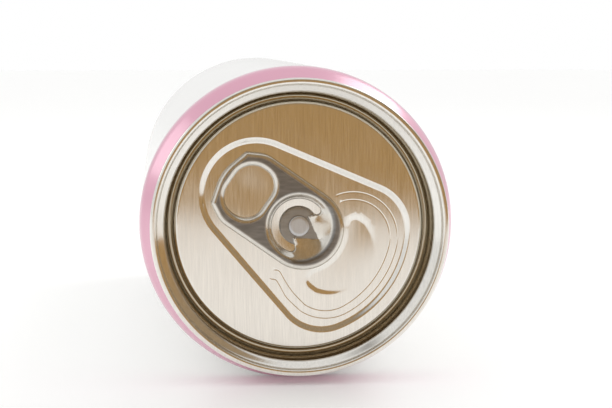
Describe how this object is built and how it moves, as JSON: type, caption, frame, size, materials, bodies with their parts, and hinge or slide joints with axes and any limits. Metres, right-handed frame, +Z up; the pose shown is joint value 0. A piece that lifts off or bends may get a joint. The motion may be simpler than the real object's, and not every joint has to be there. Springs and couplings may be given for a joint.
{
  "type": "soda can",
  "caption": "Shut slim drinks can lying on its side, with a ring-pull lid, a necked shoulder and a domed base.",
  "frame": {"origin": "under the middle of the can, on the surface that it lies on", "axes": "+Z up; +Y along the can from its lid, which faces -Y, to its stand ring; +X to the right of someone who faces the lid"},
  "size_m": [0.058, 0.146, 0.0577],
  "materials": {
    "printed_wall": "satin lacquered print on aluminium",
    "lid_metal": "rolled sheet, lacquered",
    "tab_metal": "rolled sheet, lacquered"
  },
  "bodies": {
    "root": {"can_body": "printed_wall", "can_end": "lid_metal", "pull_tab": "tab_metal"}
  },
  "joints": []
}
